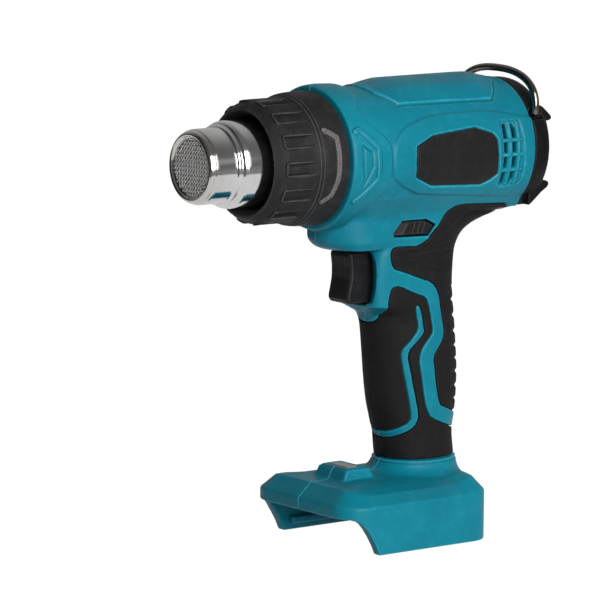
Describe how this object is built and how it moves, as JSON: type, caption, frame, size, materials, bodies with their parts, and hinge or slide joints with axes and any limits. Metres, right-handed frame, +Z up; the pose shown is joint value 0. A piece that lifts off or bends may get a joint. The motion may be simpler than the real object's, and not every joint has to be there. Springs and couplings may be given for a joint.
{
  "type": "cordless heat gun",
  "caption": "Pistol-grip cordless heat gun: steel nozzle tube in a finger-slotted guard ring, two-shell barrel and rubber-clad handle, wide slide-on battery foot, wire hanging ring.",
  "frame": {"origin": "on the foot's resting plane and on the parting plane of the clamshell, under the middle of the overall length (centre of the bounding box's bottom face)", "axes": "+Z up, -Y out of the nozzle along the barrel, +X towards the left-hand side of a person holding the tool; the barrel's centre line is at x = 0, z = 0.1833 m"},
  "size_m": [0.0784, 0.1958, 0.221],
  "materials": {
    "housing": "fine spark-eroded texture, satin",
    "grip_rubber": "matt soft-touch, slightly warm black",
    "badge_plate": "pebbled black plate",
    "black_plastic": "satin moulded, heat resistant",
    "chrome_tube": "polished, lightly brushed round",
    "dark_steel": "heat-darkened",
    "mesh_wire": "woven wire, dull",
    "mica": "wound mica sheet",
    "ceramic": "unglazed ceramic",
    "coil_wire": "oxidised resistance wire",
    "cutout_can": "drawn can",
    "duct_plastic": "moulded",
    "motor_can": "zinc plated",
    "shaft_steel": "ground",
    "fan_plastic": "moulded, glass filled",
    "filter_mesh": "fine mesh",
    "ring_wire": "dark nickel, polished",
    "trigger_plastic": "satin moulded",
    "switch_plastic": "moulded",
    "circuit_board": "solder mask",
    "window_grey": "frosted light window",
    "terminal_brass": "plated",
    "lead_red": "insulation",
    "lead_black": "insulation",
    "lead_white": "glass-braid insulation",
    "screw_steel": "zinc plated"
  },
  "bodies": {
    "housing": {"housing_left": "housing", "housing_right": "housing", "grip_rear_left": "grip_rubber", "grip_rear_right": "grip_rubber", "grip_front_left": "grip_rubber", "grip_front_right": "grip_rubber", "badge_left": "badge_plate", "badge_right": "badge_plate", "nozzle_tube": "chrome_tube", "outlet_ring": "dark_steel", "outlet_mesh": "mesh_wire", "heater_sleeve": "mica", "heater_former": "ceramic", "heater_coil": "coil_wire", "heater_disc": "ceramic", "thermal_cutout": "cutout_can", "air_duct": "duct_plastic", "motor_mount": "duct_plastic", "fan_motor": "motor_can", "rear_cap": "black_plastic", "intake_filter": "filter_mesh", "trigger_spring": "shaft_steel", "switch_body": "switch_plastic", "control_board": "circuit_board", "indicator_board": "circuit_board", "indicator_window": "window_grey", "terminal_block": "switch_plastic", "terminal_blade_positive": "terminal_brass", "terminal_blade_negative": "terminal_brass", "terminal_blade_sense": "terminal_brass", "battery_lead_positive": "lead_red", "battery_lead_negative": "lead_black", "heater_lead": "lead_white", "screw_front": "screw_steel", "screw_deck_front": "screw_steel", "screw_deck_rear": "screw_steel", "screw_waist": "screw_steel", "screw_grip_upper": "screw_steel", "screw_grip_lower": "screw_steel", "screw_foot_front": "screw_steel", "screw_foot_rear": "screw_steel"},
    "guard": {"front_guard": "black_plastic"},
    "fan": {"impeller": "fan_plastic", "motor_shaft": "shaft_steel"},
    "trigger_body": {"trigger": "trigger_plastic"},
    "lock": {"lock_bar": "trigger_plastic"},
    "ring": {"hanging_ring": "ring_wire"}
  },
  "joints": [
    {"name": "trigger_slide", "type": "slide", "parent": "housing", "child": "trigger_body", "axis": [0, 1, 0], "range_m": [0, 0.006], "stiffness_N_per_m": 300, "springref_m": -0.004, "deforming": ["trigger_spring"]},
    {"name": "lock_slide", "type": "slide", "parent": "housing", "child": "lock", "axis": [1, 0, 0], "range_m": [0, 0.004]},
    {"name": "ring_swing", "type": "hinge", "parent": "housing", "child": "ring", "pos_m": [0, 0.0843, 0.1995], "axis": [-1, 0, 0], "range_deg": [-25, 70]},
    {"name": "guard_turn", "type": "hinge", "parent": "housing", "child": "guard", "pos_m": [0, -0.0337, 0.1833], "axis": [0, 1, 0], "range_deg": [0, 30]},
    {"name": "fan_spin", "type": "hinge", "parent": "housing", "child": "fan", "pos_m": [0, 0.0623, 0.1833], "axis": [0, -1, 0], "continuous": true}
  ]
}
